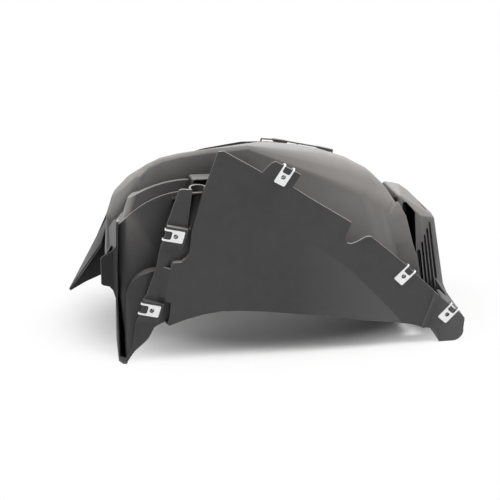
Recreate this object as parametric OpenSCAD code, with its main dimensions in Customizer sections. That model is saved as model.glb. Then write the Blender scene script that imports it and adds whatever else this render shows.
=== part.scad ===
// Wheel arch liner, front section, with five sheet-metal clip nuts on its edge.
// Millimetres, +Z up, resting wheel side down: X along the flat panel, Y away from it.

/* [Overall] */
// Width over the vent and the flap, along the panel
liner_width = 552; // [480:1:640]
// Depth from the panel's top corner to the far rim
liner_depth = 432; // [380:1:500]
// Height of the arch's crest above the ground
crest_height = 282; // [250:1:320]
// Wall of the moulding
wall = 2.8; // [2.2:0.1:3.4]

/* [Flat panel] */
// Lean of the panel towards the front, degrees
panel_lean = 10; // [6:0.5:13]
// Height of the panel's top corner, measured up the panel
apex_height = 302; // [290:1:312]
// Height of the wheel cut-out under the panel, measured up the panel
cutout_height = 72; // [60:1:82]
// How far the left strip stands back behind the panel's face
strip_set_back = 7; // [5:0.5:9]
// How far the clip pads stand back behind the panel's face
pad_set_back = 1; // [0.5:0.5:2.5]
// Width of the bead pressed across the panel beside the right foot
bead_width = 12; // [9:0.5:14]
// Height of that bead
bead_height = 3; // [2:0.1:3.5]
// How far the panel's lower facet comes forward below the crease
facet_rise = 5.5; // [3:0.5:7]

/* [Near wall] */
// Step of the upper ledge, out of the wall above it
upper_step = 8; // [5:0.5:11]
// Step of the lower ledge, out of the band above it
lower_step = 5; // [3:0.5:8]
// Rounding of the arch's edge on the right
shoulder_radius = 50; // [40:1:60]
// Rounding of the arch's edge on the left
crease_radius = 7; // [5:0.5:12]

/* [Far rim] */
// Width of the flange turned outwards along the far rim
rim_flange = 13; // [9:1:18]
// Holes for the trim clips in the far rim
rim_hole_diameter = 7; // [5:0.5:8]

/* [Vent] */
// Number of air slots
slot_count = 5; // [4:1:6]
// Width of one air slot
slot_width = 6.6; // [5.4:0.2:7]
// Distance between air slots, centre to centre
slot_pitch = 11; // [10:0.5:11.5]
// Turn of the slots' sides towards the front, degrees
louvre_turn = 30; // [20:1:35]

/* [Clip nuts] */
// Width of a clip nut
clip_width = 17; // [14:0.5:19]
// Length of a clip nut's front leaf, from the edge of the panel
clip_length = 25; // [22:0.5:28]
// Sheet of a clip nut
clip_sheet = 1.2; // [0.8:0.1:1.5]
// Screw hole of a clip nut
clip_hole_diameter = 6.4; // [5:0.1:7]
// Distance of the screw hole from the edge of the panel
clip_hole_setback = 14; // [12.5:0.5:16]
// Room between the panel and each leaf of a clip nut
clip_clearance = 0.2; // [0.1:0.05:0.4]

/* [Hidden] */
kx = liner_width / 552;
ky = liner_depth / 432;
kz = crest_height / 282;
kw = apex_height / 302;
panel_foot = 152;
middle = [8.84, -2.22];
base_y = -panel_foot * ky;
centre = [middle[0] * kx, middle[1] * ky, 0];
fine = 48;
vent_face_turn = 45.8;
coarse = 24;

// A point of the body, from the nominal position
function at(p) = [p[0] * kx, p[1] * ky, p[2] * kz];
// A point on the panel's face: along the panel and up it
function on(p) = [p[0] * kx, p[1] * kw];
// Outline points from nominal ones
function outline(list) = [for (p = list) on(p)];
// Points of an arc round c, radius r, from angle a to b in n steps
function arc(c, r, a, b, n) = [for (k = [0:n]) c + r * [cos(a + (b - a) * k / n), sin(a + (b - a) * k / n)]];

// Local frame on the panel: X along it, Y up it, Z out of its face
module on_panel(out = 0) {
    translate([0, base_y, 0])
        rotate([90 + panel_lean, 0, 0])
            translate([0, 0, out])
                children();
}

// A ball set into the panel, its middle this deep behind the face
module panel_ball(p, depth, r) {
    on_panel(-depth)
        translate([on(p)[0], on(p)[1], 0])
            sphere(r = r, $fn = 12);
}

// A ball of the body, drawn in by the inset i
module ball(p, r, i) {
    translate(at(p))
        sphere(r = r - i, $fn = r > 20 ? 36 : r > 2 ? 16 : 12);
}

// The arch itself: near wall, crest and long top falling to the far rim
module arch_form(i) {
    hull() {
        // near crest, crisp on the left
        ball([-197, -98, 243], crease_radius, i);
        ball([-198, -101, 230], crease_radius - 1, i);
        ball([-185, -98, 254.5], crease_radius, i);
        ball([-168, -98, 262], crease_radius, i);
        ball([-145, -98, 266.5], crease_radius, i);
        ball([-105, -98, 270.5], crease_radius, i);
        ball([-52, -98, 273], crease_radius, i);
        // near shoulder, rounder towards the right
        ball([-20, -54, 223], shoulder_radius, i);
        ball([18, -54, 218], shoulder_radius, i);
        ball([48, -54, 211], shoulder_radius, i);
        ball([76, -54, 201], shoulder_radius, i);
        ball([98, -55, 189], shoulder_radius, i);
        ball([116, -56, 174], shoulder_radius - 2, i);
        ball([131, -57, 157], shoulder_radius - 5, i);
        ball([143, -58, 136], shoulder_radius - 9, i);
        // left shoulder
        ball([-211, -62, 180], 28, i);
        ball([-204, -60, 200], 28, i);
        ball([-190, -50, 213], 26, i);
        ball([-172, -40, 219], 26, i);
        ball([-217, -66, 120], 24, i);
        // left wall
        ball([-216, -92, -20], 24, i);
        ball([-206, -128, -20], 14, i);
        ball([-190, 210, -20], 20, i);
        // near wall at the ground
        ball([170, -128, -20], 14, i);
        // right end at the ground
        ball([196, -60, -20], 20, i);
        ball([232, 210, -20], 20, i);
        // far rim
        ball([-160, 210, 90], 30, i);
        ball([-145, 210, 110], 36, i);
        ball([-112, 210, 130], 40, i);
        ball([-76, 210, 143], 40, i);
        ball([-36, 210, 154], 40, i);
        ball([10, 210, 160], 40, i);
        ball([45, 210, 159], 40, i);
        ball([80, 210, 153], 40, i);
        ball([114, 210, 141], 40, i);
        ball([146, 210, 122], 40, i);
        ball([170, 210, 98], 40, i);
        ball([186, 210, 70], 38, i);
    }
}

// Outline under a ledge, seen from the front: a flat arc about one centre
module ledge_outline(top, radius, grow) {
    polygon(concat(
        [[-320 * kx, -40], [-320 * kx, (top - radius) * kz]],
        [for (p = arc([-138, top - radius], radius - grow, 176, 90, 16)) [p[0] * kx, p[1] * kz]],
        [[-60 * kx, (top - 4 - grow) * kz], [-60 * kx, -40]]));
}

// Lower left of the near wall, standing out of the arch in two steps
module stepped_form(i) {
    // band between the ledges
    intersection() {
        hull() {
            ball([-192, -98 - upper_step, 250], crease_radius, i);
            ball([-60, -98 - upper_step, 262], crease_radius, i);
            ball([-205, -99 - upper_step, 224], 9, i);
            ball([-218, -103 - upper_step, 188], 9, i);
            ball([-224, -108 - upper_step, 120], 12, i);
            ball([-206, -110 - upper_step, -20], 18, i);
            ball([-208, -130, -20], 14, i);
            ball([-60, -130, -20], 14, i);
            ball([-60, 0, 200], 10, i);
            ball([-60, 0, -20], 10, i);
        }
        translate([0, 60, 0])
            rotate([90, 0, 0])
                linear_extrude(height = 300)
                    ledge_outline(241, 150, i);
    }
    // wall under the lower ledge
    intersection() {
        hull() {
            ball([-165, -98 - upper_step - lower_step, 240], crease_radius, i);
            ball([-60, -98 - upper_step - lower_step, 240], crease_radius, i);
            ball([-220, -93 - upper_step - lower_step, 192], 16, i);
            ball([-220, -101 - upper_step - lower_step, 110], 16, i);
            ball([-204, -107 - upper_step - lower_step, -20], 16, i);
            ball([-60, -136, -20], 10, i);
            ball([-60, 0, 200], 10, i);
            ball([-60, 0, -20], 10, i);
        }
        translate([0, 60, 0])
            rotate([90, 0, 0])
                linear_extrude(height = 300)
                    ledge_outline(227, 124, i);
    }
    // round-topped box of the left foot
    intersection() {
        hull() {
            ball([-216, -127, 150], 11, i);
            ball([-216, -134, -20], 11, i);
            ball([-190, -140, 150], 8, i);
            ball([-190, -142, -20], 8, i);
            ball([-150, -138, 150], 8, i);
            ball([-150, -140, -20], 8, i);
            ball([-150, -60, 150], 8, i);
            ball([-219, -60, 150], 8, i);
            ball([-150, -60, -20], 8, i);
            ball([-219, -60, -20], 8, i);
        }
        translate([0, 60, 0])
            rotate([90, 0, 0])
                linear_extrude(height = 300)
                    polygon(concat([[-238 * kx, -40]],
                        [for (p = arc([-184, 84], 43 - i, 178, 90, 12)) [p[0] * kx, p[1] * kz]],
                        [[-150 * kx, (127 - i) * kz], [-150 * kx, -40]]));
    }
}

// Air vent behind the right end of the panel
module vent_form(i) {
    hull() {
        // top, falling to the right
        ball([180, -46, 181], 5, i);
        ball([180, 20, 184.5], 5, i);
        ball([197, 20, 180.5], 5, i);
        ball([210, 20, 171], 5, i);
        ball([246, 20, 136], 5, i);
        ball([249, 20, 126], 5, i);
        // slotted face
        ball([209.5, -43.5, 152], 5, i);
        ball([238, -16, 139.5], 5, i);
        ball([264.5, -16, -20], 5, i);
        ball([207, -75, -20], 5, i);
        // right side, back and left side
        ball([260, 20, 40], 5, i);
        ball([264, 20, -20], 5, i);
        ball([170, -75, -20], 5, i);
        ball([160, 60, 150], 5, i);
        ball([232, 62, 80], 5, i);
        ball([256, 60, -20], 5, i);
        ball([170, 60, -20], 5, i);
    }
}

// Foot of the vent, flaring out to the right
module vent_foot(i) {
    hull() {
        ball([257.5, -12, 35], 5, i);
        ball([263, 20, 34], 5, i);
        ball([276.9, -6, -6], 5, i);
        ball([276.9, 20, -6], 5, i);
        ball([272, -6, -20], 5, i);
        ball([272, 20, -20], 5, i);
        ball([244, -22, 33], 5, i);
        ball([250, -26, -20], 5, i);
        ball([246, 20, 34], 5, i);
        ball([246, 20, -20], 5, i);
    }
}

// Deep gap between the arch's right end and the vent
module vent_gap(i) {
    hull() {
        ball([199, -96, 158], 5, -i);
        ball([186, -96, 172], 5, -i);
        ball([198, -96, 20], 5, -i);
        ball([190, -96, 20], 5, -i);
        ball([199, -20, 159], 3.5, -i);
        ball([188, -20, 172], 3.5, -i);
        ball([199, -20, 60], 3.5, -i);
        ball([194, -20.6, 61], 3.5, -i);
    }
}

// The whole moulding as a solid, drawn in by i
module body_form(i) {
    difference() {
        union() {
            arch_form(i);
            stepped_form(i);
            vent_form(i);
            vent_foot(i);
        }
        vent_gap(i);
    }
}

// Curve of the wheel cut-out along the panel's lower edge, right to left
function lower_edge() = [for (k = [0:14])
    let (x = 166 - 338 * k / 14, d = (x + 92) / (x > -92 ? 258 : 80))
    [x, (x > -92 ? cutout_height - 41 * pow(abs(d), 1.35) : cutout_height - 17 * pow(abs(d), 1.8))]];

// Outline of the flat panel, without the left strip
module panel_outline() {
    polygon(concat(
        outline([[-113, 302], [-105, 302], [-54, 270], [-41, 283], [-36, 284], [-2, 264], [-12, 247], [15, 228],
            [71, 191], [65.5, 174], [64.5, 167], [67, 161], [73, 159.5], [80, 162], [93, 169], [99.5, 168.5],
            [128, 144], [152, 122.5], [191, 84.5], [228, 49], [233, 46], [238.5, 40.5], [243.5, 34.5]]),
        [for (p = arc([229, 20.5], 14.5, 15, -90, 7)) on([p[0], p[1] - 5.7])],
        outline([[209, 0.6], [201, 21], [186, 24.5]]),
        [for (p = lower_edge()) on(p)],
        outline([[-174, 60], [-172, 66], [-170, 89], [-177, 92], [-178, 97], [-170.5, 143], [-168, 147.5],
            [-157, 148], [-150, 153.5], [-147, 161], [-146, 172], [-145, 190], [-130, 246], [-129, 252]])));
}

// Strip down the left side, with the foot
module strip_outline() {
    polygon(outline([[-124, 246], [-157, 249], [-161, 248], [-177, 198], [-183, 174], [-186, 160], [-189, 140],
        [-202, 99], [-207, 92], [-213, 67], [-216, 57], [-217, 45], [-219.5, 24], [-225, 10], [-231, 1.5],
        [-229.5, 0.5], [-226.5, 0.5], [-221.5, 9], [-216.5, 16.5], [-202, 30], [-198, 35], [-195, 41], [-191, 50], [-187, 53],
        [-172, 60], [-110, 120], [-110, 220]]));
}

// Each clip's place on the panel: middle of the edge it grips, and the turn of its inward way
clip_place = [
    [on([-19, 274]), -120.5],
    [on([-179, 189]), -14],
    [on([-209, 83]), -15],
    [on([158.7, 116]), -134],
    [on([226, 53]), -132]];
pad_depth = [0, pad_set_back, pad_set_back, 0, 0];
pad_half = clip_width / 2 + 3.2;
pad_slope = 1.6;
pad_length = clip_length + 3;
outer_bend = wall / 2 + clip_clearance + clip_sheet;

module at_clip(k) {
    on_panel(-pad_depth[k])
        translate([clip_place[k][0][0], clip_place[k][0][1], 0])
            rotate(clip_place[k][1])
                children();
}

// The panel, its bead and its lower facet
module panel() {
    on_panel(-wall)
        linear_extrude(height = wall)
            panel_outline();
    // bead beside the right foot
    intersection() {
        on_panel(-wall / 2)
            linear_extrude(height = 20)
                panel_outline();
        on_panel(bead_height - bead_width / 2)
            hull() {
                translate([on([202, 88])[0], on([202, 88])[1], 0])
                    sphere(d = bead_width, $fn = coarse);
                translate([on([180, 16])[0], on([180, 16])[1], 0])
                    sphere(d = bead_width, $fn = coarse);
            }
    }
    // facet that comes forward below the crease
    intersection() {
        on_panel(-wall / 2)
            linear_extrude(height = 20)
                panel_outline();
        on_panel()
            hull()
                for (p = [[-2, 172, -0.2], [29, 156, 0], [72, 122, 0], [107, 85, 0], [146, 43, 0], [160, 20, 0],
                    [105, 30, facet_rise], [30, 44, facet_rise], [-60, 60, facet_rise / 2.6], [-140, 60, -0.2],
                    [-90, 120, -0.2]])
                    translate([on([p[0], p[1]])[0], on([p[0], p[1]])[1], p[2] - 0.6])
                        cylinder(d = 1, h = 0.6, $fn = 6);
    }
}

// Raised clip pad in its own frame, face at 0, its lower side sloping down to the strip, drawn in by i
module pad_form(i, deep) {
    rise = strip_set_back - pad_set_back + deep;
    hull() {
        translate([-30, -pad_half + i, -i - 0.01])
            cube([30 + pad_length - i, 2 * (pad_half - i), 0.01]);
        translate([-30, -pad_half + i - pad_slope * rise, -rise - i])
            cube([30 + pad_length - i, 2 * (pad_half - i) + pad_slope * rise, 0.01]);
    }
}

// Tapering flute pressed between the strip and the panel, grown by g
module flute(g) {
    on_panel(-strip_set_back)
        hull() {
            translate([on([-133, 248])[0], on([-133, 248])[1], -5])
                sphere(r = 12 + g, $fn = coarse);
            translate([on([-145.5, 195])[0], on([-145.5, 195])[1], -0.5])
                sphere(r = 3.6 + g, $fn = coarse);
        }
}

// Outline of the strip where a pad may stand on it
module pad_ground() {
    strip_outline();
    polygon(outline([[-187, 60], [-168, 60], [-130, 130], [-130, 200], [-176, 200], [-183, 170]]));
}

// The strip, with the two pads that carry clips standing forward of it
module strip() {
    difference() {
        union() {
            on_panel(-wall - strip_set_back)
                linear_extrude(height = wall)
                    strip_outline();
            intersection() {
                flute(wall);
                on_panel(-40)
                    linear_extrude(height = 40 - strip_set_back)
                        strip_outline();
            }
        }
        flute(0);
        // drain hole beside the upper pad
        on_panel(-20)
            translate([on([-151, 153])[0], on([-151, 153])[1], 0])
                cylinder(d = 3.4, h = 40, $fn = coarse);
        for (k = [1, 2])
            at_clip(k)
                pad_form(wall, 8);
    }
    for (k = [1, 2])
        intersection() {
            at_clip(k)
                difference() {
                    pad_form(0, wall / 4);
                    pad_form(wall, 8);
                }
            on_panel(-strip_set_back - wall + 0.1)
                linear_extrude(height = 30)
                    pad_ground();
        }
    // wall that closes the step between the strip and the panel
    on_panel(-wall / 2 - strip_set_back)
        linear_extrude(height = strip_set_back)
            difference() {
                intersection() {
                    offset(delta = -0.05)
                        panel_outline();
                    polygon(outline([[-110, 252], [-130, 252], [-190, 150], [-190, 50], [-160, 50], [-110, 160]]));
                }
                offset(delta = -wall)
                    panel_outline();
            }
    // slope from the panel down to the strip between the two pads
    hull()
        for (p = [[-171, 138, wall / 2], [-178, 97, wall / 2], [-180, 138, strip_set_back + wall / 2],
            [-187, 97, strip_set_back + wall / 2]])
            panel_ball([p[0], p[1]], p[2], wall / 2);
}

// Open-fronted shelf box at the strip's top, and the web that closes the strip back to the arch
module shelf_box() {
    hull() {
        panel_ball([-153, 242.5], strip_set_back + wall / 2, wall / 2);
        panel_ball([-128, 242.5], strip_set_back + wall / 2, wall / 2);
        ball([-158, -112, 214], wall / 2, 0);
        ball([-112, -112, 214], wall / 2, 0);
    }
    difference() {
        hull() {
            ball([-131, -100, 243], 3, 0);
            ball([-60, -100, 242], 3, 0);
            ball([-131, -100, 222], 3, 0);
            ball([-60, -100, 216], 3, 0);
            ball([-131, -128, 243], 3, 0);
            ball([-60, -128, 242], 3, 0);
            ball([-131, -128, 226], 3, 0);
            ball([-120, -132, 219], 3, 0);
            ball([-60, -132, 219], 3, 0);
        }
        hull() {
            ball([-129.5, -120, 241.5], 2, 0);
            ball([-50, -120, 241], 2, 0);
            ball([-129.5, -120, 235], 2, 0);
            ball([-50, -120, 234], 2, 0);
            ball([-129.5, -140, 242], 2, 0);
            ball([-50, -140, 241], 2, 0);
            ball([-129.5, -140, 234], 2, 0);
            ball([-50, -140, 233], 2, 0);
        }
        hull() {
            ball([-128, -122, 228], 1.6, 0);
            ball([-50, -122, 228], 1.6, 0);
            ball([-119, -122, 223], 1.6, 0);
            ball([-50, -122, 223], 1.6, 0);
            ball([-128, -150, 228], 1.6, 0);
            ball([-50, -150, 228], 1.6, 0);
            ball([-119, -150, 223], 1.6, 0);
            ball([-50, -150, 223], 1.6, 0);
        }
    }
}

// Left side: the upright flange, the plate beside it and the flared flap at the far end
module left_side() {
    // upright flange down to the foot
    translate([-237.5 * kx, 0, 0])
        rotate([90, 0, 90])
            linear_extrude(height = wall)
                polygon([for (p = [[-50, 136], [-75, 171], [-120, 193], [-143, 199.5], [-146, 197], [-141, 188],
                    [-138, 160], [-133, 150], [-128, 95], [-126, 86], [-100, 92], [-60, 100]])
                    [p[0] * ky, p[1] * kz]]);
    // channel of the foot: its left wall, then the web back to the foot's box
    hull() {
        ball([-236.1, -125, 93], wall / 2, 0);
        ball([-236.1, -122, 60], wall / 2, 0);
        ball([-236.1, -123, 28], wall / 2, 0);
        ball([-235, -133, 1], wall / 2, 0);
        ball([-230, -100, 93], wall / 2, 0);
        ball([-230, -100, 1], wall / 2, 0);
    }
    hull() {
        ball([-230, -100, 96], wall / 2, 0);
        ball([-230, -100, 1], wall / 2, 0);
        ball([-216, -117, 96], wall / 2, 0);
        ball([-225, -112, 1], wall / 2, 0);
    }
    // its floor, at the tip of the foot
    hull() {
        ball([-230, -104, 0.5], wall / 2, 0);
        ball([-226, -112, 0.5], wall / 2, 0);
        ball([-235, -133, 0.5], wall / 2, 0);
        ball([-228, -146, 0.5], wall / 2, 0);
        ball([-232, -146, 1.4], wall / 2, 0);
        ball([-226, -140, 4], wall / 2, 0);
        ball([-235, -133, 5], wall / 2, 0);
    }
    // plate beside the flange
    translate([0, -139 * ky, 0])
        rotate([90, 0, 0])
            linear_extrude(height = wall)
                polygon([for (p = [[-238, 163], [-244, 156], [-257, 149], [-258.5, 146], [-258.5, 112], [-256, 110],
                    [-248, 108], [-243, 102], [-240, 92], [-238, 92]]) [p[0] * kx, p[1] * kz]]);
    // its return to the arch
    hull() {
        ball([-256, -138.2, 144], wall / 2, 0);
        ball([-256, -138.2, 119], wall / 2, 0);
        ball([-238, -96, 150], wall / 2, 0);
        ball([-238, -96, 112], wall / 2, 0);
    }
    // flared flap
    hull() {
        ball([-226, 96, 99], wall / 2, 0);
        ball([-211, 150, 94], wall / 2, 0);
        ball([-261, 204, wall / 2 / kz], wall / 2, 0);
        ball([-258, 208, wall / 2 / kz], wall / 2, 0);
        ball([-198, 200, 118], wall / 2, 0);
    }
}

// Flange turned outwards round the far opening, with its rail, tabs and trim holes
module far_rim() {
    difference() {
        intersection() {
            union() {
                arch_form(-rim_flange);
                translate([0, 200 * ky, 0])
                    rotate([90, 0, 0])
                        linear_extrude(height = wall)
                            polygon([for (p = [[-200, 124], [-226, 67], [-236, 45], [-262.5, 3], [-261, 0.2],
                                [-237, 13], [-212, 23], [-200, 60]]) [p[0] * kx, p[1] * kz]]);
            }
            translate([-600, 200 * ky - wall, -1])
                cube([1200, wall, 800]);
        }
        body_form(wall);
        // feet of the left leg are cut to the flap's outline
        translate([0, 260 * ky, 0])
            rotate([90, 0, 0])
                linear_extrude(height = 120)
                    polygon([for (p = [[-400, -5], [-400, 260], [-300, 150], [-262.5, 3], [-261, 0.2], [-237, 13],
                        [-212, 23], [-150, 23], [-150, -5]]) [p[0] * kx, p[1] * kz]]);
        for (p = [[-173.4, 141.6], [-90.4, 187.2], [7.6, 206.4], [133.6, 183.1], [207.1, 126], [241, 38]])
            translate([p[0] * kx, 260 * ky, p[1] * kz])
                rotate([90, 0, 0])
                    cylinder(d = rim_hole_diameter, h = 120, $fn = coarse);
    }
    // rail and two tabs on top of the rim
    for (p = [[[36, 222], [62, 219]], [[62, 219], [124, 205]], [[124, 205], [148, 199]]])
        hull()
            for (q = p)
                translate([q[0] * kx, 196 * ky, q[1] * kz])
                    sphere(d = 2.4, $fn = 12);
    for (p = [[36, 222], [62, 219], [93, 212], [124, 205], [148, 199]])
        hull() {
            translate([p[0] * kx, 196 * ky, p[1] * kz])
                sphere(d = 2.4, $fn = 12);
            translate([(p[0] - 3) * kx, 198 * ky, (p[1] - 16) * kz])
                sphere(d = 2.4, $fn = 12);
        }
    for (p = [[[55, 219.5], [73, 216]], [[124, 204.5], [143, 199.5]]])
        hull()
            for (q = p)
                translate([q[0] * kx, 194 * ky, q[1] * kz])
                    rotate([90, 0, 0])
                        cylinder(d = 4.6, h = 8, center = true, $fn = 12);
}

// Lip that joins the panel's lower edge to the near wall, along the wheel cut-out
module lower_lip() {
    edge = concat([[206, 9], [200, 22.5], [186, 25]], lower_edge(), [[-176, 58]]);
    translate([0, -127 * ky, 0])
        rotate([90, 0, 0])
            linear_extrude(height = 60 * ky)
                polygon(concat([for (p = edge) [p[0] * kx, p[1] * kw * cos(panel_lean) + 0.2]],
                    [for (k = [len(edge) - 1:-1:0]) [edge[k][0] * kx, edge[k][1] * kw * cos(panel_lean) + 0.2 + wall]]));
}

// One stretch of the wall that runs back from the right foot's edge
module foot_return(from, to, top, depth, skin) {
    on_panel(-depth)
        linear_extrude(height = depth - wall / 2)
            difference() {
                intersection() {
                    offset(delta = -skin)
                        panel_outline();
                    translate([from * kx, -10])
                        square([(to - from) * kx, (top - skin) * kw + 10]);
                }
                offset(delta = -wall - skin)
                    panel_outline();
            }
}

// Walls back from the right foot to the vent, and the arch's thin right end
module right_side() {
    difference() {
        union() {
            foot_return(198, 260, 38, 92 * ky, 0.05);
            foot_return(236, 262, 38, 119 * ky, 0.1);
            foot_return(213, 240, 58, 45 * ky, 0.15);
        }
        // room for the clip nut
        at_clip(4)
            translate([-10, -clip_width / 2 - 1.5, -outer_bend - wall / 2 - 2])
                cube([clip_length + 10, clip_width + 3, outer_bend + wall / 2 + 4]);
    }
    // thin end of the arch's near wall
    for (q = [[[143, -85, 175], [164, -89.5, 186.5], [141, -98, 156], [174, -95, 167]],
        [[141, -98, 156], [174, -95, 167], [143, -103, 128], [182, -102, 131]],
        [[143, -103, 128], [182, -102, 131], [187, -106, 113], [192, -120, 60], [150, -120, 60]]])
        hull()
            for (p = q)
                ball(p, wall / 2, 0);
}

// Slots through the vent's slanting face, spread wider at the foot, and the hole in the vent's top
module vent_slots() {
    for (k = [0:slot_count - 1])
        let (s = k * slot_pitch, t = k / max(1, slot_count - 1))
            hull()
                for (p = [[208 + 0.697 * s * 0.8, -60 + 0.717 * s * 0.8, 104 + 32 * pow(t, 0.8), 0.8],
                    [214 + 0.697 * s, -63 + 0.717 * s, 45 - 5 * t, 1]])
                    translate(at(p))
                        rotate([0, 0, vent_face_turn - louvre_turn])
                            rotate([90, 0, 0])
                                cylinder(d = slot_width * p[3], h = 15, center = true, $fn = 12);
    translate(at([226, -8, 150]))
        rotate([0, 34, 44])
            hull()
                for (s = [-4, 4])
                    translate([0, s, 0])
                        cylinder(d = 6, h = 24, center = true, $fn = coarse);
}

module liner() {
    color([0.13, 0.13, 0.135])
        translate(-centre)
            difference() {
                union() {
                    difference() {
                        body_form(0);
                        body_form(wall);
                        // wheel cut-out through the near wall
                        rotate([90, 0, 0])
                            linear_extrude(height = 300)
                                polygon(concat([[212 * kx, -1], [201 * kx, 26]],
                                    [for (p = lower_edge()) [p[0] * kx, p[1] * kw * cos(panel_lean) + 1.4]],
                                    [[-187 * kx, 57], [-197 * kx, 42], [-217 * kx, 20], [-226 * kx, -1]]));
                        // clear of the ground along the left side
                        translate([-400, 0, 0])
                            rotate([90, 0, 90])
                                linear_extrude(height = 250)
                                    polygon([for (p = [[-118, -1], [-114, 70], [-96, 97], [0, 104], [100, 98],
                                        [176, 60], [203, 22], [203, -1]]) [p[0] * ky, p[1] * kz]]);
                        vent_slots();
                    }
                    panel();
                    strip();
                    shelf_box();
                    left_side();
                    far_rim();
                    right_side();
                    intersection() {
                        lower_lip();
                        on_panel(-80)
                            linear_extrude(height = 80 - wall / 2)
                                square([900, 400], center = true);
                    }
                }
                // ground
                translate([-600, -600, -400])
                    cube([1200, 1200, 400]);
                // open far side
                translate([-600, 200 * ky, -1])
                    cube([1200, 600, 800]);
                // screw holes behind the clip nuts
                for (k = [0:4])
                    at_clip(k)
                        translate([clip_hole_setback, 0, -wall - 6])
                            cylinder(d = clip_hole_diameter + 2.6, h = wall + 12, $fn = coarse);
            }
}

// Outline of a clip nut's front leaf: rounded far corners, screw hole and window
module leaf_outline(length, hole) {
    r = 2;
    difference() {
        union() {
            translate([0, -clip_width / 2])
                square([length - r, clip_width]);
            translate([0, -clip_width / 2 + r])
                square([length, clip_width - 2 * r]);
            for (s = [-1, 1])
                translate([length - r, s * (clip_width / 2 - r)])
                    circle(r = r, $fn = fine);
        }
        translate([clip_hole_setback, 0])
            circle(d = hole, $fn = fine);
    }
}

// Clip nut number k: two leaves either side of the panel, joined by two bent prongs with an open notch between
module clip_nut(k) {
    notch = clip_width * 0.58;
    notch_end = clip_hole_setback - clip_hole_diameter / 2 - 2.4;
    corner = 2.4;
    color([0.78, 0.78, 0.8])
        translate(-centre)
            at_clip(k)
                translate([-0.3, 0, 0])
                    difference() {
                        union() {
                            translate([0, 0, clip_clearance])
                                linear_extrude(height = clip_sheet)
                                    leaf_outline(clip_length, clip_hole_diameter);
                            translate([0, 0, -wall - clip_clearance - clip_sheet])
                                linear_extrude(height = clip_sheet)
                                    leaf_outline(clip_length - 4, clip_hole_diameter - 2.2);
                            // bend round the panel's edge
                            translate([0, clip_width / 2, -wall / 2])
                                rotate([90, 0, 0])
                                    rotate([0, 0, 90])
                                        rotate_extrude(angle = 180, $fn = fine)
                                            translate([outer_bend - clip_sheet, 0])
                                                square([clip_sheet, clip_width]);
                        }
                        // notch between the prongs, through the whole bend
                        translate([-outer_bend - 1, -notch / 2, -wall / 2 - outer_bend - 1])
                            cube([outer_bend + 1.5, notch, 2 * outer_bend + 2]);
                        // and on into the front leaf, with round inner corners
                        translate([-1, -notch / 2, -wall / 2])
                            cube([notch_end + 1 - corner, notch, outer_bend + 1]);
                        translate([notch_end - 2 * corner, -notch / 2 + corner, -wall / 2])
                            cube([2 * corner, notch - 2 * corner, outer_bend + 1]);
                        for (s = [-1, 1])
                            translate([notch_end - corner, s * (notch / 2 - corner), -wall / 2])
                                cylinder(r = corner, h = outer_bend + 1, $fn = fine);
                    }
}

module clip_nut_top() {
    clip_nut(0);
}

module clip_nut_left_upper() {
    clip_nut(1);
}

module clip_nut_left_lower() {
    clip_nut(2);
}

module clip_nut_right_upper() {
    clip_nut(3);
}

module clip_nut_right_lower() {
    clip_nut(4);
}

liner();
clip_nut_top();
clip_nut_left_upper();
clip_nut_left_lower();
clip_nut_right_upper();
clip_nut_right_lower();
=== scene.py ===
import math

import bmesh
import bpy
from mathutils import Matrix, Vector


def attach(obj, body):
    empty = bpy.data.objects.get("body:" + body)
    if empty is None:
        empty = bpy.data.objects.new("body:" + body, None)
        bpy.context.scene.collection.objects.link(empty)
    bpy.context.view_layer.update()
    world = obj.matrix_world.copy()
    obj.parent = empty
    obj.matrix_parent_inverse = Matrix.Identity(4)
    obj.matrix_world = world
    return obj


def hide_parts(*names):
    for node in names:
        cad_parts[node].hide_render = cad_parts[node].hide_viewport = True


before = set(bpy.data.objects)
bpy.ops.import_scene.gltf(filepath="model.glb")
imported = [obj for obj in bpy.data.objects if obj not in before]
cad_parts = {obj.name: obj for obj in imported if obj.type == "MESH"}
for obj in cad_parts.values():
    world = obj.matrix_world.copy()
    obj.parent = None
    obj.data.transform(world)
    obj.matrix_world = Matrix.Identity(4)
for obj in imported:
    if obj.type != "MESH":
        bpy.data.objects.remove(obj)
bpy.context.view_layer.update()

MM = 0.001

# Camera: the photo's standing view, far off and a little to the left of the panel
CAMERA_PLACE = Vector((-0.55994, -2.33698, 0.79210))
CAMERA_AIM = Vector((-0.03324, 0.00772, 0.10300))
CAMERA_LENS = 126.0
CAMERA_SENSOR = 36.0
CAMERA_REACH = 60.0

# Lamps: place, aim, size and watts of each
LAMPS = {
    "overhead": ((0.45, -0.95, 2.0), (0, 0, 0.12), (1.5, 1.0), 46),
    "left": ((-1.6, -0.4, 0.9), (-0.2, -0.05, 0.15), (0.8, 0.8), 9),
    "side": ((0.8, -0.78, 0.3), (0.15, -0.1, 0.08), (0.5, 0.5), 1.9),
    "behind": ((0.6, 1.8, 1.1), (0, 0, 0.25), (1.4, 0.9), 9),
}
# Strength of the soft surroundings by direction, from the left to the right
SURROUNDINGS = (-0.8, 0.8, 0.1, 0.3)

# Floor: half its side, its paint, and the middle and reach of the oval that keeps the object's shadow
FLOOR_HALF = 40.0
FLOOR_PAINT = (0.84, 0.836, 0.832)
FLOOR_ROUGHNESS = 0.9
FLOOR_SPECULAR = 0.1
SHADOW_CENTRE = (0.02, 0.025)
SHADOW_REACH = (0.35, 0.25)
# Where the shadow's fade to plain white begins and ends, as shares of that reach
SHADOW_FADE = (0.45, 1.12)

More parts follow.
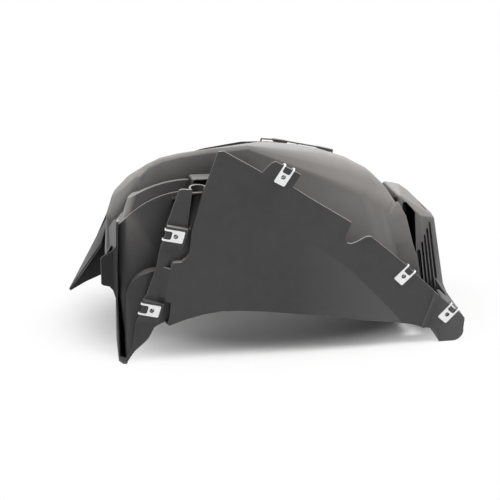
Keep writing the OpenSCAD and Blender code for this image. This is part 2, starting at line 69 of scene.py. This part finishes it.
# Black polypropylene: the clean moulding, then painted shade for its corners, the flap and the left box,
# and painted highlights on the panel's lower facet, the right foot and the rims
PLASTIC_DARK = (0.041, 0.0399, 0.041)
PLASTIC_SOFT = (0.052, 0.0506, 0.0518)
PLASTIC_STREAKED = (0.062, 0.0602, 0.061)
PLASTIC_PAINTED_SHADE = (0.012, 0.0117, 0.012)
PLASTIC_FACET_HIGHLIGHT = (0.08, 0.078, 0.079)
PLASTIC_FOOT_HIGHLIGHT = (0.088, 0.0855, 0.0865)
PLASTIC_EDGE_HIGHLIGHT = (0.21, 0.205, 0.2)
PLASTIC_IOR = 1.49
PLASTIC_SPECULAR = 0.22
# Pale dusting with painted sheen: thin on slopes, with a paler painted highlight on top and at the dome's
# left front corner
DUST_AND_SHEEN_THIN = (0.22, 0.206, 0.194)
DUST_AND_HIGHLIGHT_TOP = (0.36, 0.347, 0.335)
DUST_AND_HIGHLIGHT_CORNER = (0.46, 0.442, 0.424)
DUST_ROUGHNESS = 0.52
# Zinc plate: from tarnished to bright, and painted shade deep in its holes
ZINC_TARNISHED = (0.76, 0.765, 0.77)
ZINC_BRIGHT = (0.88, 0.88, 0.88)
ZINC_PAINTED_SHADE = (0.05, 0.05, 0.052)

# Noise patterns: scale, detail and roughness of each
CLOUDS = (9.0, 4.0, 0.55)
STREAKS = (60.0, 3.0, 0.6)
WAVES = (22.0, 1.0, 0.4)
PEBBLE = (620.0, 2.0, 0.5)
GRAIN = (1500.0, 2.0, 0.6)
TARNISH = (260.0, 3.0, 0.5)
DRAWN_GRAIN = (2400.0, 2.0, 0.5)
# Bumps: strength and height of each
WAVES_BUMP = (0.3, 1.2 * MM)
PEBBLE_BUMP = (0.35, 0.05 * MM)
GRAIN_BUMP = (0.25, 0.02 * MM)
DRAWN_BUMP = (0.2, 0.02 * MM)

# Ramps: two readings of a value, and the shares or roughnesses that they stand for
SOFT_BY_CLOUD = (0.3, 0.7, 0, 1)
STREAKED_BY_STREAK = (0.35, 0.8, 0, 0.4)
# The panel's lower facet, picked by how far it leans, gets a painted highlight
FACET_FROM_TILT = (-0.168, -0.15, 0, 1)
FACET_TO_TILT = (-0.04, 0.03, 1, 0)
# Dusting with painted sheen on what faces up, patchy by the clouds; painted shade by the panel's apex; a
# paler painted highlight on top
DUST_AND_SHEEN_BY_TILT = (0.08, 0.5, 0, 1)
DUST_BY_CLOUD = (0.25, 0.75, 0.82, 1.0)
PAINTED_SHADE_NEAR_APEX = (0, 1, 1, 0.45)
TOP_BY_TILT = (0.62, 0.97, 0, 1)
# Painted highlight along sharp rims, patchy along the streaks
EDGE_HIGHLIGHT_BY_TURN = (0.8, 0.985, 1, 0)
EDGE_HIGHLIGHT_BY_STREAK = (0.3, 0.6, 0.35, 0.7)
# Painted shade in corners: the share of the plain colour kept, by how open the surface lies
OPEN_BY_SKY = (0.1, 0.75, 0, 1)
ROUGHNESS_BY_CLOUD = (0.25, 0.75, 0.34, 0.46)
BRIGHT_BY_TARNISH = (0.3, 0.7, 0, 1)
# Painted shade in the zinc's holes, by how open it lies
ZINC_OPEN_BY_SKY = (0.3, 0.75, 0, 1)
ZINC_ROUGHNESS_BY_TARNISH = (0.2, 0.8, 0.28, 0.42)

# Stretches of the moulding: ramps along its own axes, each with two places in metres and their shares
ABOVE_GROUND = (("Z", 0.085, 0.15, 0.12, 1.0),)
# Where the lower facet's painted highlight shows, growing towards the panel's right end
PANEL_RIGHT = (("X", -0.01, 0.14, 0, 1),)
# Near the panel's apex the dusting and sheen thin out, painting shade there
NEAR_APEX = (("Y", -0.105, -0.065, 1, 0), ("Z", 0.2, 0.26, 0, 1), ("X", -0.16, -0.11, 0, 1))
# The dome's left front corner gets a paler painted highlight in its dusting
LEFT_CORNER = (("X", -0.235, -0.185, 1, 0), ("Z", 0.14, 0.19, 0, 1), ("Y", -0.08, 0.0, 1, 0))
# The upper flap and the left box get painted shade
UPPER_FLAP = (("X", -0.225, -0.205, 1, 0), ("Z", 0.035, 0.075, 0, 1),
              ("Z", 0.1, 0.13, 1, 0), ("Y", 0.06, 0.09, 0, 1))
LEFT_BOX = (("X", -0.252, -0.245, 1, 0), ("Y", -0.13, -0.12, 1, 0))
# The right foot gets a painted highlight, strongest low down at its right end
RIGHT_FOOT = (("X", 0.185, 0.215, 0, 0.8), ("Z", 0.06, 0.1, 1, 0))
# Stretches with painted light or shade: painted shade on the upper flap and the left box, a painted
# highlight on the right foot
PAINTED_LIGHT_AND_SHADE = ((UPPER_FLAP, PLASTIC_PAINTED_SHADE), (LEFT_BOX, PLASTIC_PAINTED_SHADE), (RIGHT_FOOT, PLASTIC_FOOT_HIGHLIGHT))

# Reach of the rounded rims, and of the painted shade in sheltered corners, for the plastic and the zinc
RIM_RADIUS = 1.0 * MM
RIM_SAMPLES = 6
SHELTER_REACH = 0.11
ZINC_SHELTER_REACH = 0.004
SHELTER_SAMPLES = 6

# Angles over which an edge stays sharp, in degrees, and the gap that counts as none
LINER_SMOOTH = 32
CLIP_SMOOTH = 38
MERGE_GAP = 0.01 * MM

# The flat panel's plane in the row frame, in millimetres
PANEL_LEAN = math.radians(10)
PANEL_FOOT_Y = -149.78
PANEL_MIDDLE_X = 8.84
PANEL_WALL = 2.8

# Clip nuts: distance along the panel, distance up it, turn of the inward way, depth of the pad
CLIP_NUTS = {
    "clip_nut_top": (-19, 274, -120.5, 0),
    "clip_nut_left_upper": (-179, 189, -14, 1),
    "clip_nut_left_lower": (-209, 83, -15, 1),
    "clip_nut_right_upper": (158.7, 116, -134, 0),
    "clip_nut_right_lower": (226, 53, -132, 0),
}
# The clip nut's own sizes, in millimetres
CLIP_WIDTH = 17.0
CLIP_FRONT = 25.0
CLIP_BACK = 21.0
CLIP_SHEET = 1.2
CLIP_CORNER = 2.0
CLIP_HOLE = 6.4
CLIP_BACK_HOLE = 4.9
CLIP_SETBACK = 14.0
CLIP_CLEARANCE = 0.2
CLIP_EDGE_GAP = 0.3
CLIP_RIM = 0.2
CLIP_RIM_STEPS = 2
CLIP_RIM_ANGLE = 50
# Its notch across the bend: width, metal left before the hole, reach into the back leaf, corners
CLIP_NOTCH = 0.68 * CLIP_WIDTH
CLIP_YOKE = 2.4
NOTCH_BACK = 0.5
NOTCH_CORNERS = (2.4, 0.9)
# Its bend: the middle of the sheet runs half round the panel's edge
BEND_RADIUS = PANEL_WALL / 2 + CLIP_CLEARANCE + CLIP_SHEET / 2
BEND_LENGTH = math.pi * BEND_RADIUS
BEND_STEPS = 14
# Facets of its holes and of each rounded corner, then the gap and the angle that count as none
HOLE_STEPS = 32
BACK_HOLE_STEPS = 28
CORNER_STEPS = 6
BLANK_GAP = 0.001
BLANK_ANGLE = 0.02
# Its drawn collar: section points, each the distance out from the bore and back from the leaf
COLLAR_LAP = 0.05
COLLAR_SECTION = ((0, 0.05), (0, 2.5), (0.15, 2.7), (0.8, 2.7), (1.0, 2.5), (1.15, 1.5),
                  (1.5, 1.15), (1.5, 0.1), (0.3, -0.03))
COLLAR_STEPS = 36
# Its pressed thread: how deep it sits in the bore's wall and how far back it starts, then its form
THREAD_INSET = 0.02
THREAD_START = 2.6
THREAD_PITCH = 0.8
THREAD_TURNS = 3.0
THREAD_RIDGE = 0.26
THREAD_STEPS = 28
THREAD_SIDES = 6


def node_tree(name):
    """A material with an empty node tree and its output."""
    material = bpy.data.materials.new(name)
    material.use_nodes = True
    tree = material.node_tree
    tree.nodes.clear()
    output = tree.nodes.new("ShaderNodeOutputMaterial")
    return material, tree, output


def add(tree, kind, **inputs):
    """A node of that kind, with its inputs set by name."""
    node = tree.nodes.new(kind)
    for name, value in inputs.items():
        node.inputs[name.replace("_", " ")].default_value = value
    return node


def own_place(tree):
    """The point's place on the piece itself, in metres."""
    return tree.nodes.new("ShaderNodeTexCoord").outputs["Object"]


def along(tree, place, axis):
    """One of the three parts of a place or a direction."""
    split = tree.nodes.new("ShaderNodeSeparateXYZ")
    tree.links.new(place, split.inputs[0])
    return split.outputs[axis]


def combine(tree, operation, first, second):
    """Two values made one by a Math node."""
    node = tree.nodes.new("ShaderNodeMath")
    node.operation = operation
    tree.links.new(first, node.inputs[0])
    tree.links.new(second, node.inputs[1])
    return node.outputs[0]


def times(tree, first, second):
    return combine(tree, "MULTIPLY", first, second)


def noise(tree, place, scale, detail, roughness):
    node = add(tree, "ShaderNodeTexNoise", Scale=scale, Detail=detail, Roughness=roughness)
    tree.links.new(place, node.inputs["Vector"])
    return node.outputs["Fac"]


def spread(tree, value, from_low, from_high, to_low, to_high):
    """The value's range carried over to another range, clamped."""
    node = tree.nodes.new("ShaderNodeMapRange")
    node.clamp = True
    node.inputs["From Min"].default_value = from_low
    node.inputs["From Max"].default_value = from_high
    node.inputs["To Min"].default_value = to_low
    node.inputs["To Max"].default_value = to_high
    tree.links.new(value, node.inputs["Value"])
    return node.outputs["Result"]


def region(tree, place, ramps):
    """The share of one stretch of the piece, faded in and out along its own axes."""
    share = None
    for axis, *ramp in ramps:
        part = spread(tree, along(tree, place, axis), *ramp)
        share = part if share is None else times(tree, share, part)
    return share


def blend_colours(tree, factor, first, second):
    node = tree.nodes.new("ShaderNodeMix")
    node.data_type = "RGBA"
    tree.links.new(factor, node.inputs["Factor"])
    for socket, colour in ((node.inputs[6], first), (node.inputs[7], second)):
        if isinstance(colour, tuple):
            socket.default_value = (*colour, 1)
        else:
            tree.links.new(colour, socket)
    return node.outputs[2]


def blend_shaders(tree, factor, first, second):
    node = tree.nodes.new("ShaderNodeMixShader")
    tree.links.new(factor, node.inputs["Fac"])
    tree.links.new(first, node.inputs[1])
    tree.links.new(second, node.inputs[2])
    return node.outputs[0]


def bump(tree, height, strength, distance, normal=None):
    node = add(tree, "ShaderNodeBump", Strength=strength, Distance=distance)
    tree.links.new(height, node.inputs["Height"])
    if normal:
        tree.links.new(normal, node.inputs["Normal"])
    return node.outputs["Normal"]


def facing_up(tree, normal="Normal"):
    """How far the surface faces up: 1 on top, 0 on a wall, below 0 underneath."""
    return along(tree, tree.nodes.new("ShaderNodeNewGeometry").outputs[normal], "Z")


def open_sky(tree, reach):
    """1 where the surface lies open, towards 0 deep in its own corners and channels."""
    node = add(tree, "ShaderNodeAmbientOcclusion", Distance=reach)
    node.samples = SHELTER_SAMPLES
    node.only_local = True
    return node.outputs["AO"]


def on_edges(tree, rounded):
    """1 where the sheet's rim turns sharply, 0 on its flat faces."""
    plain = tree.nodes.new("ShaderNodeNewGeometry").outputs["Normal"]
    dot = tree.nodes.new("ShaderNodeVectorMath")
    dot.operation = "DOT_PRODUCT"
    tree.links.new(rounded, dot.inputs[0])
    tree.links.new(plain, dot.inputs[1])
    return spread(tree, dot.outputs["Value"], *EDGE_HIGHLIGHT_BY_TURN)


def seen_directly(tree):
    """1 for what the camera sees itself, or in metal and glass. 0 for light on the object."""
    rays = tree.nodes.new("ShaderNodeLightPath")
    seen = combine(tree, "MAXIMUM", rays.outputs["Is Camera Ray"], rays.outputs["Is Glossy Ray"])
    return combine(tree, "MAXIMUM", seen, rays.outputs["Is Transmission Ray"])


def clean_plastic(tree, place, clouds, streaks):
    """The moulding's own tone: soft clouds and faint streaks, with a painted highlight on the panel's
    lower facet that grows towards the panel's right end.
    """
    soft = blend_colours(tree, spread(tree, clouds, *SOFT_BY_CLOUD), PLASTIC_DARK, PLASTIC_SOFT)
    streaked = spread(tree, streaks, *STREAKED_BY_STREAK)
    bare = blend_colours(tree, streaked, soft, PLASTIC_STREAKED)
    # Painted highlight: the lower facet and the panel's right end made lighter
    tilt = facing_up(tree, "True Normal")
    facet = times(tree, spread(tree, tilt, *FACET_FROM_TILT), spread(tree, tilt, *FACET_TO_TILT))
    facet_highlight = times(tree, facet, region(tree, place, PANEL_RIGHT))
    return blend_colours(tree, facet_highlight, bare, PLASTIC_FACET_HIGHLIGHT)


def dust_and_sheen_cover(tree, place, clouds):
    """How much dusting and painted sheen lie: most on what faces up, less towards the ground, and less by
    the panel's apex, where this paints shade.
    """
    dust_and_sheen = spread(tree, facing_up(tree), *DUST_AND_SHEEN_BY_TILT)
    dust_and_sheen = times(tree, dust_and_sheen, spread(tree, clouds, *DUST_BY_CLOUD))
    dust_and_sheen = times(tree, dust_and_sheen, region(tree, place, ABOVE_GROUND))
    return times(tree, dust_and_sheen, spread(tree, region(tree, place, NEAR_APEX), *PAINTED_SHADE_NEAR_APEX))


def dust_and_sheen_tone(tree, place):
    """The colour of the dusting and painted sheen, with a painted highlight paler on top and at the dome's
    left front corner.
    """
    top = spread(tree, facing_up(tree), *TOP_BY_TILT)
    dust_and_top_highlight = blend_colours(tree, top, DUST_AND_SHEEN_THIN, DUST_AND_HIGHLIGHT_TOP)
    return blend_colours(tree, region(tree, place, LEFT_CORNER), dust_and_top_highlight, DUST_AND_HIGHLIGHT_CORNER)


def moulded_plastic():
    """Black polypropylene: fine moulded grain, cloudy sheen, pale dusting with painted sheen, painted
    highlights on the edges and painted shade in corners.
    """
    material, tree, output = node_tree("moulded_black_plastic")
    shader = add(tree, "ShaderNodeBsdfPrincipled", IOR=PLASTIC_IOR, Specular_IOR_Level=PLASTIC_SPECULAR)
    place = own_place(tree)
    clouds = noise(tree, place, *CLOUDS)
    streaks = noise(tree, place, *STREAKS)
    rounded = add(tree, "ShaderNodeBevel", Radius=RIM_RADIUS)
    rounded.samples = RIM_SAMPLES

    clean = clean_plastic(tree, place, clouds, streaks)
    dust_and_sheen = dust_and_sheen_cover(tree, place, clouds)
    # Dusting with painted sheen and painted highlights on what faces up
    colour = blend_colours(tree, dust_and_sheen, clean, dust_and_sheen_tone(tree, place))
    # Painted shade on the flap and the box, a painted highlight on the right foot
    for stretch, tone in PAINTED_LIGHT_AND_SHADE:
        colour = blend_colours(tree, region(tree, place, stretch), colour, tone)
    # Painted highlight: a pale line along the sheet's sharp rims
    edge_highlight = on_edges(tree, rounded.outputs["Normal"])
    edge_highlight = times(tree, edge_highlight, spread(tree, streaks, *EDGE_HIGHLIGHT_BY_STREAK))
    colour = blend_colours(tree, edge_highlight, colour, PLASTIC_EDGE_HIGHLIGHT)
    # Painted shade: corners and channels darkened by how sheltered they are
    open_share = spread(tree, open_sky(tree, SHELTER_REACH), *OPEN_BY_SKY)
    colour = blend_colours(tree, open_share, PLASTIC_PAINTED_SHADE, colour)
    tree.links.new(colour, shader.inputs["Base Color"])

    chalky = tree.nodes.new("ShaderNodeMix")
    chalky.inputs[3].default_value = DUST_ROUGHNESS
    tree.links.new(dust_and_sheen, chalky.inputs["Factor"])
    tree.links.new(spread(tree, clouds, *ROUGHNESS_BY_CLOUD), chalky.inputs[2])
    tree.links.new(chalky.outputs[0], shader.inputs["Roughness"])

    normal = rounded.outputs["Normal"]
    for pattern, size in ((WAVES, WAVES_BUMP), (PEBBLE, PEBBLE_BUMP), (GRAIN, GRAIN_BUMP)):
        normal = bump(tree, noise(tree, place, *pattern), *size, normal)
    tree.links.new(normal, shader.inputs["Normal"])
    tree.links.new(shader.outputs["BSDF"], output.inputs["Surface"])
    return material


def zinc_sheet():
    """Bright zinc-plated spring steel: fine drawn grain, faint cloudy tarnish, and painted shade deep in
    its holes.
    """
    material, tree, output = node_tree("zinc_plated_steel")
    shader = add(tree, "ShaderNodeBsdfPrincipled", Metallic=1.0)
    place = own_place(tree)
    tarnish = noise(tree, place, *TARNISH)
    grain = noise(tree, place, *DRAWN_GRAIN)
    bright = spread(tree, tarnish, *BRIGHT_BY_TARNISH)
    plate = blend_colours(tree, bright, ZINC_TARNISHED, ZINC_BRIGHT)
    # Painted shade: the zinc darkened deep in its holes and bends
    open_share = spread(tree, open_sky(tree, ZINC_SHELTER_REACH), *ZINC_OPEN_BY_SKY)
    tree.links.new(blend_colours(tree, open_share, ZINC_PAINTED_SHADE, plate), shader.inputs["Base Color"])
    tree.links.new(spread(tree, tarnish, *ZINC_ROUGHNESS_BY_TARNISH), shader.inputs["Roughness"])
    tree.links.new(bump(tree, grain, *DRAWN_BUMP), shader.inputs["Normal"])
    tree.links.new(shader.outputs["BSDF"], output.inputs["Surface"])
    return material


def away_from_shadow(tree):
    """0 inside the oval that keeps the object's shadow, 1 outside it."""
    centre = [-middle / reach for middle, reach in zip(SHADOW_CENTRE, SHADOW_REACH)]
    scale = [1 / reach for reach in SHADOW_REACH]
    oval = add(tree, "ShaderNodeMapping", Location=(*centre, 0), Scale=(*scale, 0))
    tree.links.new(own_place(tree), oval.inputs["Vector"])
    length = tree.nodes.new("ShaderNodeVectorMath")
    length.operation = "LENGTH"
    tree.links.new(oval.outputs[0], length.inputs[0])
    fade = tree.nodes.new("ShaderNodeMapRange")
    fade.interpolation_type = "SMOOTHSTEP"
    fade.inputs["From Min"].default_value, fade.inputs["From Max"].default_value = SHADOW_FADE
    tree.links.new(length.outputs["Value"], fade.inputs["Value"])
    return fade.outputs["Result"]


def white_floor_finish():
    """White sweep: takes the object's shadow, and fades to plain white away from it."""
    material, tree, output = node_tree("white_floor")
    shader = add(tree, "ShaderNodeBsdfPrincipled", Base_Color=(*FLOOR_PAINT, 1),
                 Roughness=FLOOR_ROUGHNESS, Specular_IOR_Level=FLOOR_SPECULAR)
    white = add(tree, "ShaderNodeEmission", Strength=1.0)
    share = times(tree, seen_directly(tree), away_from_shadow(tree))
    finish = blend_shaders(tree, share, shader.outputs["BSDF"], white.outputs[0])
    tree.links.new(finish, output.inputs["Surface"])
    return material


def new_piece(name, mesh, material):
    piece = bpy.data.objects.new(name, mesh)
    bpy.context.scene.collection.objects.link(piece)
    mesh.materials.clear()
    mesh.materials.append(material)
    return piece


def smooth_by_angle(mesh, degrees):
    for face in mesh.polygons:
        face.use_smooth = True
    mesh.set_sharp_from_angle(angle=math.radians(degrees))


def clean_copy(node, name):
    """The node's mesh made afresh, without stored normals, its triangles merged at their corners."""
    bm = bmesh.new()
    bm.from_mesh(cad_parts[node].data)
    bmesh.ops.remove_doubles(bm, verts=bm.verts, dist=MERGE_GAP)
    bmesh.ops.dissolve_degenerate(bm, edges=bm.edges, dist=MERGE_GAP)
    bm.verts.index_update()
    mesh = bpy.data.meshes.new(name)
    corners = [vert.co[:] for vert in bm.verts]
    mesh.from_pydata(corners, [], [[vert.index for vert in face.verts] for face in bm.faces])
    bm.free()
    return mesh


def liner_skin(plastic):
    """The moulding as one clean mesh."""
    mesh = clean_copy("liner", "liner_skin")
    smooth_by_angle(mesh, LINER_SMOOTH)
    skin = new_piece("liner_skin", mesh, plastic)
    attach(skin, "root")
    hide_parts("liner")


def on_circle(middle, radius, turn):
    return middle[0] + radius * math.cos(turn), middle[1] + radius * math.sin(turn)


def round_loop(middle, radius, steps):
    """Corners of a circle on the flat blank."""
    return [on_circle(middle, radius, 2 * math.pi * k / steps) for k in range(steps)]


def round_box(low, high, radii):
    """Corners of a rectangle on the flat blank, its low and high ends rounded by their own radii."""
    loop = []
    corners = ((high[0], high[1], radii[1], -1, -1), (low[0], high[1], radii[0], 1, -1),
               (low[0], low[1], radii[0], 1, 1), (high[0], low[1], radii[1], -1, 1))
    for quarter, (x, y, radius, inward_x, inward_y) in enumerate(corners):
        middle = (x + inward_x * radius, y + inward_y * radius)
        for k in range(CORNER_STEPS + 1):
            loop.append(on_circle(middle, radius, math.radians(90 * quarter + 90 * k / CORNER_STEPS)))
    return loop


def flat_blank(loops):
    """A flat sheet with that outline, the first loop, and the others cut out of it."""
    curve = bpy.data.curves.new("blank", "CURVE")
    curve.dimensions = "2D"
    curve.fill_mode = "BOTH"
    for loop in loops:
        spline = curve.splines.new("POLY")
        spline.points.add(len(loop) - 1)
        for point, corner in zip(spline.points, loop):
            point.co = (*corner, 0, 1)
        spline.use_cyclic_u = True
    holder = bpy.data.objects.new("blank", curve)
    bpy.context.scene.collection.objects.link(holder)
    bpy.context.view_layer.update()
    flat = bpy.data.meshes.new_from_object(holder)
    sheet = bmesh.new()
    sheet.from_mesh(flat)
    bpy.data.objects.remove(holder)
    bpy.data.meshes.remove(flat)
    bpy.data.curves.remove(curve)
    bmesh.ops.remove_doubles(sheet, verts=sheet.verts, dist=BLANK_GAP)
    bmesh.ops.dissolve_limit(sheet, angle_limit=BLANK_ANGLE, verts=sheet.verts, edges=sheet.edges)
    return sheet


def nut_blank():
    """The clip nut cut flat: two leaves in a row, a hole in each, and a notch across the bend."""
    half = CLIP_WIDTH / 2
    notch_half = CLIP_NOTCH / 2
    notch_end = CLIP_SETBACK - CLIP_HOLE / 2 - CLIP_YOKE
    return flat_blank([
        round_box((-CLIP_FRONT, -half), (BEND_LENGTH + CLIP_BACK, half), (CLIP_CORNER, CLIP_CORNER)),
        round_loop((-CLIP_SETBACK, 0), CLIP_HOLE / 2, HOLE_STEPS),
        round_loop((BEND_LENGTH + CLIP_SETBACK, 0), CLIP_BACK_HOLE / 2, BACK_HOLE_STEPS),
        round_box((-notch_end, -notch_half), (BEND_LENGTH + NOTCH_BACK, notch_half), NOTCH_CORNERS),
    ])


def bend_round_edge(blank):
    """Bends the flat blank round the panel's edge, the front leaf on its face and the back leaf behind."""
    for k in range(BEND_STEPS + 1):
        everything = blank.verts[:] + blank.edges[:] + blank.faces[:]
        cut = (BEND_LENGTH * k / BEND_STEPS, 0, 0)
        bmesh.ops.bisect_plane(blank, geom=everything, plane_co=cut, plane_no=(1, 0, 0))
    for vert in blank.verts:
        run, across = vert.co.x, vert.co.y
        if run < 0:
            vert.co = (-run, across, BEND_RADIUS - PANEL_WALL / 2)
        elif run < BEND_LENGTH:
            height, bulge = on_circle((-PANEL_WALL / 2, 0), BEND_RADIUS, run / BEND_RADIUS)
            vert.co = (-bulge, across, height)
        else:
            vert.co = (run - BEND_LENGTH, across, -BEND_RADIUS - PANEL_WALL / 2)


def applied(holder):
    """The plain mesh that an object's modifiers make. The object itself goes."""
    bpy.context.scene.collection.objects.link(holder)
    evaluated = holder.evaluated_get(bpy.context.evaluated_depsgraph_get())
    mesh = bpy.data.meshes.new_from_object(evaluated)
    start = holder.data
    holder.modifiers.clear()
    bpy.data.objects.remove(holder)
    bpy.data.meshes.remove(start)
    return mesh


def folded_sheet():
    """The bent clip nut with its thickness and rounded rims, before its collar is drawn."""
    blank = nut_blank()
    bend_round_edge(blank)
    sheet = bpy.data.meshes.new("clip_sheet")
    blank.to_mesh(sheet)
    blank.free()
    holder = bpy.data.objects.new("clip_sheet", sheet)
    thick = holder.modifiers.new("thickness", "SOLIDIFY")
    thick.thickness = CLIP_SHEET
    thick.offset = 0
    thick.use_even_offset = True
    rims = holder.modifiers.new("rims", "BEVEL")
    rims.width = CLIP_RIM
    rims.segments = CLIP_RIM_STEPS
    rims.limit_method = "ANGLE"
    rims.angle_limit = math.radians(CLIP_RIM_ANGLE)
    return applied(holder)


def turned_ring(bm, section, middle, steps):
    """A closed ring with that section of radius and height, turned about the upright axis."""
    rows = []
    for k in range(steps):
        turn = 2 * math.pi * k / steps
        corners = [(*on_circle(middle, radius, turn), height) for radius, height in section]
        rows.append([bm.verts.new(corner) for corner in corners])
    for k in range(steps):
        here, there = rows[k], rows[(k + 1) % steps]
        for i in range(len(section)):
            j = (i + 1) % len(section)
            bm.faces.new((here[i], there[i], there[j], here[j]))


def thread_tree(material, sizes):
    """Geometry Nodes that wind a screw thread: a fine ridge swept along a helix."""
    tree = bpy.data.node_groups.new("pressed_thread", "GeometryNodeTree")
    sockets = {}
    for name, value in sizes.items():
        socket = tree.interface.new_socket(name, in_out="INPUT", socket_type="NodeSocketFloat")
        socket.default_value = value
        sockets[name] = socket.identifier
    tree.interface.new_socket("Geometry", in_out="OUTPUT", socket_type="NodeSocketGeometry")
    given = tree.nodes.new("NodeGroupInput").outputs
    result = tree.nodes.new("NodeGroupOutput")
    helix = add(tree, "GeometryNodeCurveSpiral", Resolution=THREAD_STEPS)
    tree.links.new(given["Turns"], helix.inputs["Rotations"])
    tree.links.new(given["Radius"], helix.inputs["Start Radius"])
    tree.links.new(given["Radius"], helix.inputs["End Radius"])
    tree.links.new(times(tree, given["Pitch"], given["Turns"]), helix.inputs["Height"])
    ridge = add(tree, "GeometryNodeCurvePrimitiveCircle", Resolution=THREAD_SIDES)
    tree.links.new(given["Ridge"], ridge.inputs["Radius"])
    swept = add(tree, "GeometryNodeCurveToMesh", Fill_Caps=True)
    tree.links.new(helix.outputs["Curve"], swept.inputs["Curve"])
    tree.links.new(ridge.outputs["Curve"], swept.inputs["Profile Curve"])
    solid = tree.nodes.new("GeometryNodeRealizeInstances")
    tree.links.new(swept.outputs["Mesh"], solid.inputs["Geometry"])
    finish = add(tree, "GeometryNodeSetMaterial", Material=material)
    tree.links.new(solid.outputs["Geometry"], finish.inputs["Geometry"])
    tree.links.new(finish.outputs["Geometry"], result.inputs["Geometry"])
    return tree, sockets


def grown_mesh(tree, sockets, sizes):
    """The plain mesh that a Geometry Nodes tree makes with these sizes."""
    holder = bpy.data.objects.new("grown", bpy.data.meshes.new("grown"))
    modifier = holder.modifiers.new("grow", "NODES")
    modifier.node_group = tree
    for name, value in sizes.items():
        modifier[sockets[name]] = value
    return applied(holder)


def clip_nut_mesh(zinc):
    """A clip nut over the panel's edge, in millimetres: X runs inwards, Z out of the panel's face.

    It is the folded sheet, with a drawn collar and a pressed thread on its back leaf."""
    body = folded_sheet()
    leaf = -PANEL_WALL - CLIP_CLEARANCE
    bore = CLIP_BACK_HOLE / 2 - COLLAR_LAP
    bm = bmesh.new()
    bm.from_mesh(body)
    section = [(bore + out, leaf - back) for out, back in COLLAR_SECTION]
    turned_ring(bm, section, (CLIP_SETBACK, 0), COLLAR_STEPS)
    sizes = {"Radius": bore + THREAD_INSET, "Pitch": THREAD_PITCH,
             "Turns": THREAD_TURNS, "Ridge": THREAD_RIDGE}
    tree, sockets = thread_tree(zinc, sizes)
    thread = grown_mesh(tree, sockets, sizes)
    thread.transform(Matrix.Translation((CLIP_SETBACK, 0, leaf - THREAD_START)))
    bm.from_mesh(thread)
    bpy.data.meshes.remove(thread)
    bmesh.ops.recalc_face_normals(bm, faces=bm.faces)
    bm.to_mesh(body)
    bm.free()
    return body


def clip_nuts(zinc):
    """The five clip nuts, each set over the panel's edge at its own place and turn."""
    pattern = clip_nut_mesh(zinc)
    foot = Matrix.Translation((-PANEL_MIDDLE_X, PANEL_FOOT_Y, 0))
    lean = Matrix.Rotation(math.radians(90) + PANEL_LEAN, 4, "X")
    edge_gap = Matrix.Translation((-CLIP_EDGE_GAP, 0, 0))
    for name, (side, up, turn, depth) in CLIP_NUTS.items():
        mesh = pattern.copy()
        mesh.name = name + "_sheet"
        place = foot @ lean @ Matrix.Translation((side, up, -depth))
        mesh.transform(place @ Matrix.Rotation(math.radians(turn), 4, "Z") @ edge_gap)
        mesh.transform(Matrix.Diagonal((MM, MM, MM, 1)))
        smooth_by_angle(mesh, CLIP_SMOOTH)
        piece = new_piece(name + "_sheet", mesh, zinc)
        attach(piece, "root")
        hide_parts(name)
    bpy.data.meshes.remove(pattern)


def build_floor():
    corners = [(x * FLOOR_HALF, y * FLOOR_HALF, 0) for x, y in ((-1, -1), (1, -1), (1, 1), (-1, 1))]
    mesh = bpy.data.meshes.new("floor")
    mesh.from_pydata(corners, [], [(0, 1, 2, 3)])
    floor = new_piece("floor", mesh, white_floor_finish())


def area_lamp(name, place, aim, size, watts):
    lamp = bpy.data.lights.new(name, "AREA")
    lamp.shape = "RECTANGLE"
    lamp.size, lamp.size_y = size
    lamp.energy = watts
    holder = bpy.data.objects.new(name, lamp)
    bpy.context.scene.collection.objects.link(holder)
    holder.location = place
    holder.rotation_euler = (Vector(aim) - Vector(place)).to_track_quat("-Z", "Y").to_euler()


def light_studio():
    """Soft surroundings, brighter on the right, with lamps overhead, behind and at both sides."""
    world = bpy.data.worlds.new("studio")
    bpy.context.scene.world = world
    world.use_nodes = True
    tree = world.node_tree
    tree.nodes.clear()
    output = tree.nodes.new("ShaderNodeOutputWorld")
    seen = add(tree, "ShaderNodeBackground", Color=(1, 1, 1, 1), Strength=1.0)
    lit = add(tree, "ShaderNodeBackground", Color=(1, 1, 1, 1), Strength=1.0)
    direction = tree.nodes.new("ShaderNodeTexCoord").outputs["Generated"]
    strength = spread(tree, along(tree, direction, "X"), *SURROUNDINGS)
    tree.links.new(strength, lit.inputs["Strength"])
    surroundings = blend_shaders(tree, seen_directly(tree), lit.outputs[0], seen.outputs[0])
    tree.links.new(surroundings, output.inputs["Surface"])
    for name, (place, aim, size, watts) in LAMPS.items():
        area_lamp(name, place, aim, size, watts)


def place_camera():
    data = bpy.data.cameras.new("camera")
    data.lens = CAMERA_LENS
    data.sensor_width = CAMERA_SENSOR
    data.clip_end = CAMERA_REACH
    camera = bpy.data.objects.new("camera", data)
    bpy.context.scene.collection.objects.link(camera)
    camera.location = CAMERA_PLACE
    camera.rotation_euler = (CAMERA_AIM - CAMERA_PLACE).to_track_quat("-Z", "Y").to_euler()
    bpy.context.scene.camera = camera


def main():
    bpy.context.scene.view_settings.view_transform = "Standard"
    place_camera()
    light_studio()
    build_floor()
    liner_skin(moulded_plastic())
    clip_nuts(zinc_sheet())


main()
